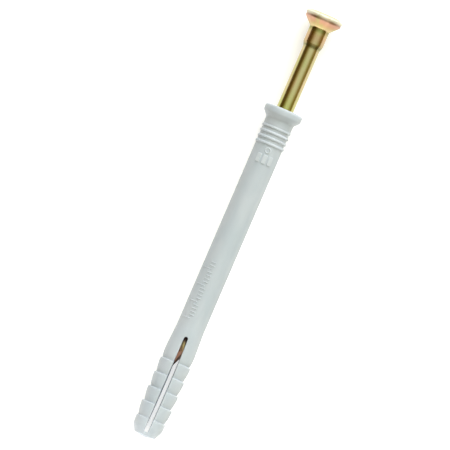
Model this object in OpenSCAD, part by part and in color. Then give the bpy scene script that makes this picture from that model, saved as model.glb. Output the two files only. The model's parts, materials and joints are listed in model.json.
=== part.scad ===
// Hammer-in nail plug: a moulded grey sleeve with a flared collar, grip rings and
// split, barbed legs, and the yellow nail that is driven down its bore to spread them.
// The nail stands proud of the collar, as the plug is pushed into its hole.
// The plug lies on a flat surface along +X, head end at +X, with its slot upright,
// and the origin is on that surface under the middle of its length.
// Heights along the plug are counted from the sleeve's tip, in millimetres.

/* [Sleeve] */
// Length from the tip to the top of the collar
sleeve_len = 100; // [70:1:160]
// Diameter of the plain shank, which is that of the drilled hole
shank_d = 8; // [7.4:0.1:8.2]

/* [Collar] */
// Largest diameter of the collar
collar_d = 11.2; // [10:0.1:14]
// Height of the collar's band
collar_band = 1.9; // [1.5:0.1:4]
// Height of the cone under the band
collar_cone = 1.6; // [1:0.1:3]
// Rounding of the band's upper edge
collar_top_round = 0.7; // [0.2:0.05:0.9]
// Rounding of the band's lower edge
collar_low_round = 0.9; // [0.1:0.05:1]
// Rounding where the cone runs into the neck
collar_root_round = 0.9; // [0.2:0.1:1.5]
// Diameter of the smooth neck between the collar and the grip rings
collar_neck_d = 8.25; // [8.2:0.05:8.4]

/* [Grip rings] */
// Number of grip rings
ring_count = 4; // [1:1:8]
// Distance from the top of the collar to the middle of the first ring
ring_start = 5.95; // [5:0.05:9]
// Distance from one ring to the next
ring_pitch = 1.6; // [1.2:0.01:2.5]
// Diameter over the rings
ring_d = 8.7; // [8.5:0.05:8.9]
// Radius of the rounded ring itself
ring_round = 0.42; // [0.38:0.01:0.5]

/* [Barbed legs] */
// Number of barbs on the legs
barb_count = 5; // [2:1:8]
// Height of the lowest barb's ledge above the tip
barb_start = 5.2; // [4:0.1:8]
// Distance from one barb to the next
barb_pitch = 4.35; // [3:0.05:6]
// Diameter over the barbs
barb_d = 9.1; // [8.8:0.05:9.8]
// Diameter over the lowest barb, which leads the plug into its hole
lead_barb_d = 8.7; // [8.55:0.05:9]
// Diameter of the legs' core above the lowest barb
core_low_d = 7.95; // [7.6:0.05:8.2]
// Diameter of the legs' core above the highest barb
core_high_d = 8.25; // [7.9:0.05:8.4]
// Diameter of the legs where they swell above the highest barb
leg_d = 8.75; // [8.5:0.05:9]
// How far above the highest barb the legs reach that diameter
swell_low = 2.3; // [1.5:0.1:2.9]
// How far above the highest barb they start to taper again
swell_high = 3.6; // [3:0.1:5]
// How far that taper runs on above the slot
swell_run = 2.8; // [1:0.1:6]

/* [Nose] */
// Height of the tapered nose
nose_len = 2.75; // [1.8:0.05:3.5]
// Diameter at the top of the nose
nose_d = 8.5; // [8:0.1:8.6]
// Rounding at the top of the nose
nose_round = 1.5; // [0.5:0.1:3]
// Diameter of the flat end of the tip
tip_d = 6.2; // [5:0.1:7.2]

/* [Slot] */
// Thickness of the web that closes the slot at the tip
tip_web = 1.4; // [0.8:0.1:2.5]
// How far the slot runs on above the highest barb
slot_lead = 7.8; // [5:0.1:14]
// Width of the slot at its two ends
slot_w = 1.1; // [0.8:0.1:2]
// How far each leg is bowed outwards at the middle of the slot
slot_bow = 0.18; // [0.05:0.01:0.4]

/* [Bore] */
// Clearance between the nail and the bore, all round
nail_gap = 0.05; // [0.02:0.01:0.1]
// Distance from the top of the slot down to where the bore narrows
bore_lead = 5.3; // [3:0.1:7]
// Angle of the narrowing to the axis
bore_slope = 16; // [8:1:25]
// Diameter of the narrow bore between the legs
pilot_d = 2.2; // [1.5:0.1:3]
// Width of the bevel round the mouth of the bore
mouth_bevel = 0.8; // [0.3:0.1:1.5]

/* [Nail] */
// How far the top of the head stands above the collar
nail_proud = 29.1; // [15:0.1:60]
// Diameter of the shank
nail_d = 5; // [4.6:0.1:5.2]
// Length of the four-sided point
point_len = 6.1; // [4:0.1:7]
// How far the pinched point lies to one side of the axis
point_off = 0.65; // [0:0.05:1]
// Diameter of the thicker neck under the head
neck_d = 5.9; // [5.4:0.1:6.6]
// Distance from the top of the head to the lower end of the neck
neck_reach = 9; // [7:0.1:12]
// Height of the taper between the neck and the shank
neck_step = 1.3; // [0.2:0.1:2]

/* [Nail head] */
// Diameter over the rim's lower lip, which is the widest
head_d = 10.9; // [10.6:0.1:13]
// Distance from the top of the head down to the lip's edge
head_rim = 1.05; // [0.95:0.05:1.6]
// Height of the bevel between the rim and the flat top
head_bevel = 0.6; // [0.2:0.05:0.7]
// Diameter of the flat top
crown_d = 8; // [7:0.1:9]
// Height of the slope under the lip
lip_h = 0.28; // [0.1:0.02:0.4]
// Diameter of the shoulder between the lip and the cone
shoulder_d = 10.5; // [9.5:0.1:10.7]
// Distance from the lip's edge down to the cone
shoulder_h = 1; // [0.5:0.05:1.4]
// Included angle of the countersunk cone
cone_angle = 90; // [80:1:110]
// Rounding of the rim's upper edge
head_round = 0.4; // [0.1:0.05:0.6]
// Rounding between the cone and the neck
head_root_round = 1.6; // [0.4:0.1:2]

/* [Cross recess] */
// Width across the mouth of the recess
recess_span = 5.6; // [4:0.1:6]
// Width across the floor of the recess
recess_floor = 2.6; // [1.8:0.1:3.2]
// Depth of the recess
recess_depth = 3; // [1.5:0.1:3.5]
// Width of each wing
recess_wing = 1.1; // [0.8:0.05:1.5]
// Diameter of the round middle at its mouth
recess_core_d = 2.5; // [2.2:0.1:3]
// Diameter of the round middle at its floor
recess_core_floor = 1.4; // [1:0.1:2]

/* [Hidden] */
$fn = 96;
// Steps in each rounded corner, in each bulging flank and in each side of the slot
arc_steps = 6;
flank_steps = 4;
slot_steps = 12;
// How far a cutting shape runs past the surface that it cuts
cut_over = 1;

shank_r = shank_d / 2;
collar_r = collar_d / 2;
nail_r = nail_d / 2;
head_r = head_d / 2;
crown_r = crown_d / 2;

// Heights on the sleeve
collar_under = sleeve_len - collar_band;
neck_top = collar_under - collar_cone;
high_barb = barb_start + (barb_count - 1) * barb_pitch;
slot_top = high_barb + slot_lead;
slot_turn = slot_top - slot_w / 2;
slot_mid = (tip_web + slot_turn) / 2;
slot_half = (slot_turn - tip_web) / 2;

// Heights in the bore, which narrows from bore_end down to pilot_top
bore_r = nail_r + nail_gap;
bore_end = slot_top - bore_lead;
pilot_top = bore_end - (bore_r - pilot_d / 2) / tan(bore_slope);

// The nail stops where its point meets the narrowing of the bore
nail_stop = bore_end - nail_gap / tan(bore_slope);
point_edge = point_len * (nail_r - point_off) / (sqrt(2) * nail_r - point_off);
nail_tip = nail_stop - point_edge;
head_top = sleeve_len + nail_proud;
nail_len = head_top - nail_tip;

// The rest pose: the slot's edges on one barb touch the surface at the tip side,
// and the collar's band, or the rim of the head, touches it at the other
function barb_r(i) = (i == 0 ? lead_barb_d : barb_d) / 2;
function barb_z(i) = barb_start + i * barb_pitch;
function slot_side(z) = slot_w / 2 + slot_bow * (1 - pow((z - slot_mid) / slot_half, 2));
function foot_r(i) = sqrt(pow(barb_r(i), 2) - pow(slot_side(barb_z(i)), 2));
function slope_between(a, b) = atan((b[1] - a[1]) / (b[0] - a[0]));
barb_feet = [for (i = [0:barb_count - 1]) [barb_z(i), foot_r(i)]];
collar_turn = atan((collar_r - collar_neck_d / 2) / collar_cone);
collar_foot = [collar_under + collar_low_round * tan(collar_turn / 2), collar_r];
head_foot = [head_top - head_rim, head_r];
rest_tilt = max([for (b = [collar_foot, head_foot]) min([for (a = barb_feet) slope_between(a, b)])]);
rest_lift = max([for (p = [collar_foot, head_foot]) p[1] * cos(rest_tilt) - p[0] * sin(rest_tilt)]);
low_x = -tip_d / 2 * sin(rest_tilt);
high_x = head_top * cos(rest_tilt) + crown_r * sin(rest_tilt);

// Lays an upright piece down on the surface, along +X
module laid_down() {
    translate([-(low_x + high_x) / 2, 0, rest_lift])
        rotate([0, 90 - rest_tilt, 0])
            children();
}

function unit(v) = v / norm(v);
function turned(v, angle) = [v[0] * cos(angle) - v[1] * sin(angle), v[0] * sin(angle) + v[1] * cos(angle)];

// The corner at b between a and c, rounded to radius r
function corner(a, b, c, r) =
    let (
        to_a = unit(a - b),
        to_c = unit(c - b),
        half = acos(to_a * to_c) / 2,
        centre = b + unit(to_a + to_c) * r / sin(half),
        start = b + to_a * r / tan(half) - centre,
        sweep = (180 - 2 * half) * (cross(to_a, to_c) > 0 ? -1 : 1)
    )
    [for (i = [0:arc_steps]) centre + turned(start, sweep * i / arc_steps)];

// An outline from rows of [radius, height, rounding]
function outline(rows) = [
    for (i = [0:len(rows) - 1])
        let (
            n = len(rows),
            a = rows[(i + n - 1) % n],
            b = rows[i],
            c = rows[(i + 1) % n]
        )
        each (b[2] == 0
            ? [[b[0], b[1]]]
            : corner([a[0], a[1]], [b[0], b[1]], [c[0], c[1]], b[2]))
];

// Rows for a bulging flank from a lower point up to an upper one, upright at its top
function flank(low, high) =
    let (
        in = high[0] - low[0],
        up = high[1] - low[1],
        r = (in * in + up * up) / (2 * in),
        sweep = asin(up / r)
    )
    [
        for (i = [0:flank_steps])
            let (angle = -sweep * (1 - i / flank_steps))
            [high[0] + r * (cos(angle) - 1), high[1] + r * sin(angle), 0]
    ];

// A point of the legs' core, at the foot of the flank that rises from a barb's ledge
function core_point(i) = [(core_low_d + (core_high_d - core_low_d) * i / (barb_count - 1)) / 2, barb_z(i)];

// Rows for one barb above the lowest: its bulging flank, from the ledge below it to its own
function barb_rows(i) = flank(core_point(i - 1), [barb_r(i), barb_z(i)]);

// Rows for one grip ring, from its lower side to its upper side
function ring_rows(z, low_r, high_r) =
    let (
        centre_r = ring_d / 2 - ring_round,
        low_angle = acos((low_r - centre_r) / ring_round),
        high_angle = acos((high_r - centre_r) / ring_round)
    )
    [
        for (i = [0:arc_steps])
            let (angle = -low_angle + (low_angle + high_angle) * i / arc_steps)
            [centre_r + ring_round * cos(angle), z + ring_round * sin(angle), 0]
    ];

sleeve_rows = concat(
    [[0, 0, 0]],
    [[tip_d / 2, 0, 0], [nose_d / 2, nose_len, nose_round], [barb_r(0), barb_z(0), 0]],
    [for (i = [1:barb_count - 1]) each barb_rows(i)],
    flank(core_point(barb_count - 1), [leg_d / 2, high_barb + swell_low]),
    [[leg_d / 2, high_barb + swell_high, 0], [shank_r, slot_top + swell_run, 0]],
    [
        for (i = [ring_count - 1:-1:0])
            each ring_rows(
                sleeve_len - ring_start - i * ring_pitch,
                shank_r,
                i == 0 ? collar_neck_d / 2 : shank_r
            )
    ],
    [
        [collar_neck_d / 2, neck_top, collar_root_round],
        [collar_r, collar_under, collar_low_round],
        [collar_r, sleeve_len, collar_top_round],
        [0, sleeve_len, 0]
    ]
);

// The slot between the legs, drawn as seen through it: bowed sides and a round top
module slot_outline() {
    sides = [for (i = [0:slot_steps]) tip_web + 2 * slot_half * i / slot_steps];
    polygon(concat(
        [for (z = sides) [slot_side(z), z]],
        [for (i = [slot_steps:-1:0]) [-slot_side(sides[i]), sides[i]]]
    ));
    translate([0, slot_turn])
        circle(d = slot_w);
}

module slot_cut() {
    rotate([90, 0, 90])
        translate([0, 0, -collar_d])
            linear_extrude(2 * collar_d)
                slot_outline();
}

// The bore for the nail: its bevelled mouth, its narrowing between the legs and the
// blind narrow bore under that
module bore_cut() {
    rotate_extrude()
        polygon([
            [0, tip_web],
            [pilot_d / 2, tip_web],
            [pilot_d / 2, pilot_top],
            [bore_r, bore_end],
            [bore_r, sleeve_len - mouth_bevel],
            [bore_r + mouth_bevel + cut_over, sleeve_len + cut_over],
            [0, sleeve_len + cut_over]
        ]);
}

module sleeve() {
    color([0.77, 0.81, 0.8])
        laid_down()
            difference() {
                rotate_extrude()
                    polygon(outline(sleeve_rows));
                slot_cut();
                bore_cut();
            }
}

lip_z = nail_len - head_rim;
cone_top = lip_z - shoulder_h;
neck_z = nail_len - neck_reach;

// Heights on the nail are counted from its point
nail_rows = [
    [0, 0, 0],
    [nail_r, 0, 0],
    [nail_r, neck_z - neck_step, 0],
    [neck_d / 2, neck_z, 0],
    [neck_d / 2, cone_top - (shoulder_d - neck_d) / 2 / tan(cone_angle / 2), head_root_round],
    [shoulder_d / 2, cone_top, 0],
    [shoulder_d / 2, lip_z - lip_h, 0],
    [head_r, lip_z, 0],
    [head_r, nail_len - head_bevel, head_round],
    [crown_r, nail_len, 0],
    [0, nail_len, 0]
];

// One pair of the point's facets, as the wedge that they leave
module point_wedge() {
    side = point_off / sqrt(2);
    reach = nail_len + cut_over;
    translate([0, head_d, 0])
        rotate([90, 0, 0])
            linear_extrude(2 * head_d)
                polygon([
                    [side, 0],
                    [side + (nail_r - side) * reach / point_len, reach],
                    [side - (nail_r + side) * reach / point_len, reach]
                ]);
}

// One pair of wings of the cross recess
module recess_pair() {
    translate([0, recess_wing / 2, nail_len])
        rotate([90, 0, 0])
            linear_extrude(recess_wing)
                polygon([
                    [-recess_floor / 2, -recess_depth],
                    [recess_floor / 2, -recess_depth],
                    [recess_span / 2, 0],
                    [recess_span / 2, cut_over],
                    [-recess_span / 2, cut_over],
                    [-recess_span / 2, 0]
                ]);
}

module nail() {
    color([0.8, 0.68, 0.36])
        laid_down()
            translate([0, 0, nail_tip])
                difference() {
                    intersection() {
                        rotate_extrude()
                            polygon(outline(nail_rows));
                        rotate([0, 0, 45])
                            point_wedge();
                        rotate([0, 0, 135])
                            point_wedge();
                    }
                    recess_pair();
                    rotate([0, 0, 90])
                        recess_pair();
                    translate([0, 0, nail_len - recess_depth])
                        cylinder(d1 = recess_core_floor, d2 = recess_core_d, h = recess_depth);
                }
}

sleeve();
nail();
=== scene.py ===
"""Looks of a hammer-in wall plug: a moulded grey sleeve and a yellow zinc-plated nail.

The plug lies on a pale floor with its head towards +X. Each piece is modelled upright
in millimetres along the plug's own axis, with its height counted from the sleeve's tip,
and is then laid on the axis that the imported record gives.
"""

import json
import logging
import math
from dataclasses import dataclass, field
from enum import Enum
from typing import Sequence

import bmesh
import bpy
from mathutils import Matrix, Vector


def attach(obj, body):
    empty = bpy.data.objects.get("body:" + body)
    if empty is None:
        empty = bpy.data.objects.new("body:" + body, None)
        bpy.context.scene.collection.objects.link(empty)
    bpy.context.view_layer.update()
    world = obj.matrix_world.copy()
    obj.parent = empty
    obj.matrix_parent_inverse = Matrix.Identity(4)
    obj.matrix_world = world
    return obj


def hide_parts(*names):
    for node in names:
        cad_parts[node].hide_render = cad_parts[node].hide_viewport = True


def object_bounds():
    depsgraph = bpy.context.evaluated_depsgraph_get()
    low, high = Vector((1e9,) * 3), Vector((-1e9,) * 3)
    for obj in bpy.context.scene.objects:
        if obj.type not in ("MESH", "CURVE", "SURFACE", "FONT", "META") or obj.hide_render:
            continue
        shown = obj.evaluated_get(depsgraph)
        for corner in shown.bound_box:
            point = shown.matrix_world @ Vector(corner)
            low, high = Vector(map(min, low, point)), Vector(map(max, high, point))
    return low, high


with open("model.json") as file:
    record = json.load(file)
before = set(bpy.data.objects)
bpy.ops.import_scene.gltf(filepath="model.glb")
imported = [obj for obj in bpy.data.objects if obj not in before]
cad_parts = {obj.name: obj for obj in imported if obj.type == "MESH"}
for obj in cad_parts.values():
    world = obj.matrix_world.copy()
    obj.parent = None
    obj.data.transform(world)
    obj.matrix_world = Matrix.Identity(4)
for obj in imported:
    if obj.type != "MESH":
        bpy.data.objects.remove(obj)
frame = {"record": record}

CAD_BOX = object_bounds()
ROOT_BODY = "root"
MM = 0.001
# Points closer than this are one point, in metres
WELD = 1e-7
# Edges that bend less than this are shaded smooth, in degrees
SMOOTH_BELOW = 32

logging.basicConfig(level=logging.INFO, format="%(name)s: %(message)s")
log = logging.getLogger("plug")

Pair = tuple[float, float]
Triple = tuple[float, float, float]
Outline = list[Pair]
Colour = Triple
Socket = bpy.types.NodeSocket


class Slot(Enum):
    """The record's material slots."""

    SLEEVE = "sleeve_plastic"
    NAIL = "yellow_zinc"


class Join(Enum):
    """How one solid is combined with another."""

    CUT = "DIFFERENCE"
    ADD = "UNION"


# Outlines


@dataclass(frozen=True)
class Corner:
    """A corner of a turned outline: its radius, its height and how far it is rounded."""

    r: float
    z: float
    rounding: float = 0.0


def rounded(corners: Sequence[Corner], steps: int = 6) -> Outline:
    """Rounds the corners of an open outline.

    Args:
        corners: The corners in order; the first and the last stay sharp.
        steps: How many edges each rounded corner gets.

    Returns:
        The outline's points as (radius, height).
    """
    points: Outline = []
    for i, corner in enumerate(corners):
        if corner.rounding == 0 or i in (0, len(corners) - 1):
            points.append((corner.r, corner.z))
            continue
        here = Vector((corner.r, corner.z))
        before = (Vector((corners[i - 1].r, corners[i - 1].z)) - here).normalized()
        after = (Vector((corners[i + 1].r, corners[i + 1].z)) - here).normalized()
        half = before.angle(after) / 2
        centre = here + (before + after).normalized() * corner.rounding / math.sin(half)
        start = here + before * corner.rounding / math.tan(half) - centre
        turn = math.pi - 2 * half
        sweep = -turn if before.cross(after) > 0 else turn
        for k in range(steps + 1):
            point = centre + Matrix.Rotation(sweep * k / steps, 2) @ start
            points.append((point.x, point.y))
    return points


def flank(low: Pair, high: Pair, steps: int = 8) -> list[Corner]:
    """Gives a bulging flank between two points, upright at its upper end.

    Args:
        low: The lower point as (radius, height).
        high: The upper point as (radius, height).
        steps: How many edges the flank gets.

    Returns:
        The corners from the lower point to the one before the upper point.
    """
    inward, rise = high[0] - low[0], high[1] - low[1]
    radius = (inward**2 + rise**2) / (2 * inward)
    sweep = math.asin(rise / radius)
    corners = []
    for k in range(steps):
        angle = -sweep * (1 - k / steps)
        corners.append(Corner(high[0] + radius * (math.cos(angle) - 1), high[1] + radius * math.sin(angle)))
    return corners


def radius_at(outline: Outline, height: float) -> float:
    """Returns an outline's radius at a height, on its way up.

    Args:
        outline: Points as (radius, height).
        height: The height.

    Returns:
        The radius between the first two points that have the height between them.
    """
    for (low_r, low), (high_r, high) in zip(outline, outline[1:]):
        if low <= height <= high and low < high:
            return low_r + (high_r - low_r) * (height - low) / (high - low)
    return outline[-1][0]


# Modelling by hand, through the edit tools


def pick(obj: bpy.types.Object) -> None:
    """Selects one object alone, in object mode.

    Args:
        obj: The object.
    """
    if bpy.context.mode != "OBJECT":
        bpy.ops.object.mode_set(mode="OBJECT")
    bpy.ops.object.select_all(action="DESELECT")
    obj.select_set(True)
    bpy.context.view_layer.objects.active = obj


def edit_only(obj: bpy.types.Object) -> None:
    """Opens one object in edit mode, by its vertices and with nothing selected.

    Args:
        obj: The object.
    """
    pick(obj)
    bpy.ops.object.mode_set(mode="EDIT")
    bpy.ops.mesh.select_mode(type="VERT")
    bpy.ops.mesh.select_all(action="DESELECT")


def close_edit(obj: bpy.types.Object) -> bpy.types.Object:
    """Leaves edit mode and returns the object."""
    bpy.ops.object.mode_set(mode="OBJECT")
    return obj


def draw_line(name: str, points: Sequence[Vector]) -> bpy.types.Object:
    """Draws a line by pulling one vertex from each point to the next.

    Args:
        name: The new object's name.
        points: The line's points, in metres.

    Returns:
        The new object, left in edit mode with its last vertex selected.
    """
    bpy.ops.object.select_all(action="DESELECT")
    bpy.ops.mesh.primitive_plane_add(size=MM)
    obj = bpy.context.object
    obj.name = obj.data.name = name
    edit_only(obj)
    bpy.ops.mesh.select_all(action="SELECT")
    bpy.ops.mesh.merge(type="CENTER")
    bpy.ops.transform.translate(value=points[0])
    for here, there in zip(points, points[1:]):
        bpy.ops.mesh.extrude_vertices_move(TRANSFORM_OT_translate={"value": there - here})
    return obj


def spin_selected(steps: int, angle: float) -> None:
    """Spins the whole mesh in hand about the upright axis.

    Args:
        steps: How many segments the turn has.
        angle: How far it turns, in radians.
    """
    bpy.ops.mesh.select_all(action="SELECT")
    bpy.ops.mesh.spin(steps=steps, angle=angle, center=(0, 0, 0), axis=(0, 0, 1), use_auto_merge=False)


def turn_outline(name: str, outline: Outline, segments: int) -> bpy.types.Object:
    """Turns an outline about the Z axis into a closed solid.

    Args:
        name: The new object's name.
        outline: Points as (radius, height) in millimetres, from the axis back to the axis.
        segments: How many segments the turn has.

    Returns:
        The turned solid.
    """
    obj = draw_line(name, [Vector((r, 0, z)) * MM for r, z in outline])
    spin_selected(segments, math.tau)
    bpy.ops.mesh.select_all(action="SELECT")
    bpy.ops.mesh.remove_doubles(threshold=WELD)
    bpy.ops.mesh.normals_make_consistent(inside=False)
    return close_edit(obj)


def slab(name: str, outline: Outline, thickness: float) -> bpy.types.Object:
    """Makes a flat slab in the X-Z plane, centred on that plane.

    Args:
        name: The new object's name.
        outline: Points as (x, z) in millimetres, in order round the slab.
        thickness: The slab's thickness along Y, in millimetres.

    Returns:
        The slab.
    """
    half = thickness / 2
    obj = draw_line(name, [Vector((x, -half, z)) * MM for x, z in outline])
    bpy.ops.mesh.select_all(action="SELECT")
    bpy.ops.mesh.edge_face_add()
    bpy.ops.mesh.extrude_region_move(TRANSFORM_OT_translate={"value": Vector((0, thickness * MM, 0))})
    bpy.ops.mesh.select_all(action="SELECT")
    bpy.ops.mesh.normals_make_consistent(inside=False)
    return close_edit(obj)


def pull_through(name: str, rings: Sequence[Sequence[Vector]]) -> bpy.types.Object:
    """Extrudes a disc through rings that have the same number of points.

    Args:
        name: The new object's name.
        rings: The rings in order, each as points in metres.

    Returns:
        The closed solid.
    """
    bpy.ops.object.select_all(action="DESELECT")
    bpy.ops.mesh.primitive_circle_add(vertices=len(rings[0]), radius=MM, fill_type="NGON")
    obj = bpy.context.object
    obj.name = obj.data.name = name
    order = obj.data.attributes.new("order", "INT", "POINT")
    for k, entry in enumerate(order.data):
        entry.value = k
    edit_only(obj)
    bpy.ops.mesh.select_all(action="SELECT")
    for step, ring in enumerate(rings):
        if step > 0:
            bpy.ops.mesh.extrude_region_move(TRANSFORM_OT_translate={"value": (0, 0, 0)})
        mesh = bmesh.from_edit_mesh(obj.data)
        layer = mesh.verts.layers.int["order"]
        for vert in mesh.verts:
            if vert.select:
                vert.co = ring[vert[layer]]
        bmesh.update_edit_mesh(obj.data)
    bpy.ops.mesh.select_all(action="SELECT")
    bpy.ops.mesh.normals_make_consistent(inside=False)
    return close_edit(obj)


def combine(obj: bpy.types.Object, tool: bpy.types.Object, how: Join) -> None:
    """Cuts a tool solid from an object or adds it, and deletes the tool.

    Args:
        obj: The object that is changed.
        tool: The closed solid that cuts or is added.
        how: Whether the tool is cut away or added.
    """
    pick(obj)
    step = obj.modifiers.new(how.value.lower(), "BOOLEAN")
    step.operation = how.value
    step.solver = "EXACT"
    step.object = tool
    bpy.ops.object.modifier_apply(modifier=step.name)
    bpy.data.objects.remove(tool, do_unlink=True)


def close_solid(obj: bpy.types.Object) -> bpy.types.Object:
    """Fills whatever is open at a solid's ends and turns its faces outwards.

    Args:
        obj: The solid.

    Returns:
        The closed solid.
    """
    edit_only(obj)
    bpy.ops.mesh.select_all(action="SELECT")
    bpy.ops.mesh.remove_doubles(threshold=WELD)
    bpy.ops.mesh.select_all(action="DESELECT")
    bpy.ops.mesh.select_non_manifold()
    bpy.ops.mesh.edge_face_add()
    bpy.ops.mesh.select_all(action="SELECT")
    bpy.ops.mesh.normals_make_consistent(inside=False)
    return close_edit(obj)


def join_up(objects: Sequence[bpy.types.Object]) -> bpy.types.Object:
    """Joins objects into the first of them.

    Args:
        objects: The objects.

    Returns:
        The joined object.
    """
    bpy.ops.object.select_all(action="DESELECT")
    for obj in objects:
        obj.select_set(True)
    bpy.context.view_layer.objects.active = objects[0]
    bpy.ops.object.join()
    return bpy.context.view_layer.objects.active


def dress(obj: bpy.types.Object, material: bpy.types.Material) -> None:
    """Shades a finished piece smooth between its sharp edges and gives it its finish.

    Args:
        obj: The piece.
        material: The finish.
    """
    pick(obj)
    bpy.ops.object.shade_smooth_by_angle(angle=math.radians(SMOOTH_BELOW))
    step = obj.modifiers.new("even_shading", "WEIGHTED_NORMAL")
    step.keep_sharp = True
    bpy.ops.object.modifier_apply(modifier=step.name)
    obj.data.materials.clear()
    obj.data.materials.append(material)


@dataclass(frozen=True)
class PlugAxis:
    """The plug's axis as it lies, taken from the top of the nail's head in the record."""

    head_top: float = 129.1
    mount: str = "cross_recess"
    # How far pieces are drawn in across the axis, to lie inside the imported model's facets
    draw_in: float = 0.9955

    def direction(self) -> Vector:
        """Returns the unit vector along the axis, towards the head."""
        return Vector(self._mount()["axis"]).normalized()

    def tip(self) -> Vector:
        """Returns the point of the axis at the sleeve's tip, in metres."""
        return Vector(self._mount()["pos_m"]) - self.direction() * self.head_top * MM

    def at(self, height: float) -> Vector:
        """Returns the point of the axis at a height above the tip, in metres."""
        return self.tip() + self.direction() * height * MM

    def _mount(self) -> dict:
        """Returns the record's entry for the mount on the head."""
        return next(m for m in frame["record"]["mounts"] if m["name"] == self.mount)

    def lay_down(self, obj: bpy.types.Object) -> None:
        """Lays an upright piece on the axis and keeps its object at the origin.

        Args:
            obj: The piece, modelled with the sleeve's tip at the origin and its head up.
        """
        pick(obj)
        along = self.direction()
        obj.scale = (self.draw_in, self.draw_in, 1.0)
        obj.rotation_mode = "XYZ"
        obj.rotation_euler = (0, math.atan2(along.x, along.z), 0)
        obj.location = self.tip()
        bpy.ops.object.transform_apply(location=True, rotation=True, scale=True)


# Finishes


@dataclass(frozen=True)
class Grain:
    """The fine grain of a surface: noise for each metre, its depth and its range of gloss."""

    scale: float
    depth: float
    roughness: Pair
    # The radius by which sharp edges are rounded, in metres
    edge: float
    stretch: Triple = (1.0, 1.0, 1.0)
    detail: float = 4.0
    span: Pair = (0.3, 0.7)
    edge_samples: int = 6


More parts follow.
